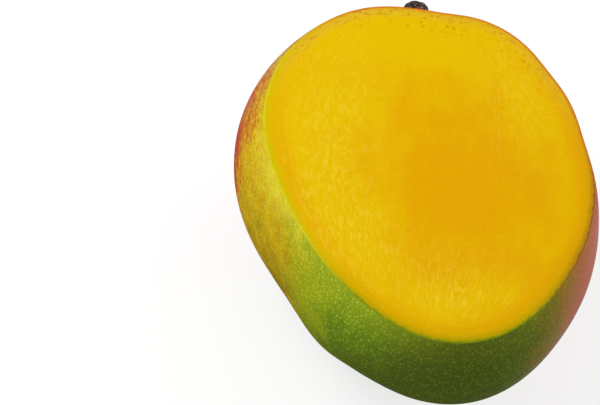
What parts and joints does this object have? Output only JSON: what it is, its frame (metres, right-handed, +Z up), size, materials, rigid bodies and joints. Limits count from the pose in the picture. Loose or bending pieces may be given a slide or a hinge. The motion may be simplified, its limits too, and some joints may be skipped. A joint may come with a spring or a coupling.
{
  "type": "mango with one cheek cut off",
  "caption": "Ripe mango lying on its whole cheek with the upper cheek sliced off, a smooth yellow cut face inside green and red skin, and a short woody stem stub at one end.",
  "frame": {"origin": "on the surface that the fruit rests on, under the middle of its box", "axes": "+Y from the fruit's tip to its stem, +X across it towards its straighter edge, +Z up out of the cut face"},
  "size_m": [0.0965, 0.1219, 0.06],
  "materials": {
    "fruit": null,
    "stem": "dark, dry, knobbly bark"
  },
  "bodies": {
    "root": {"fruit": "fruit", "stem_stub": "stem"}
  },
  "joints": []
}
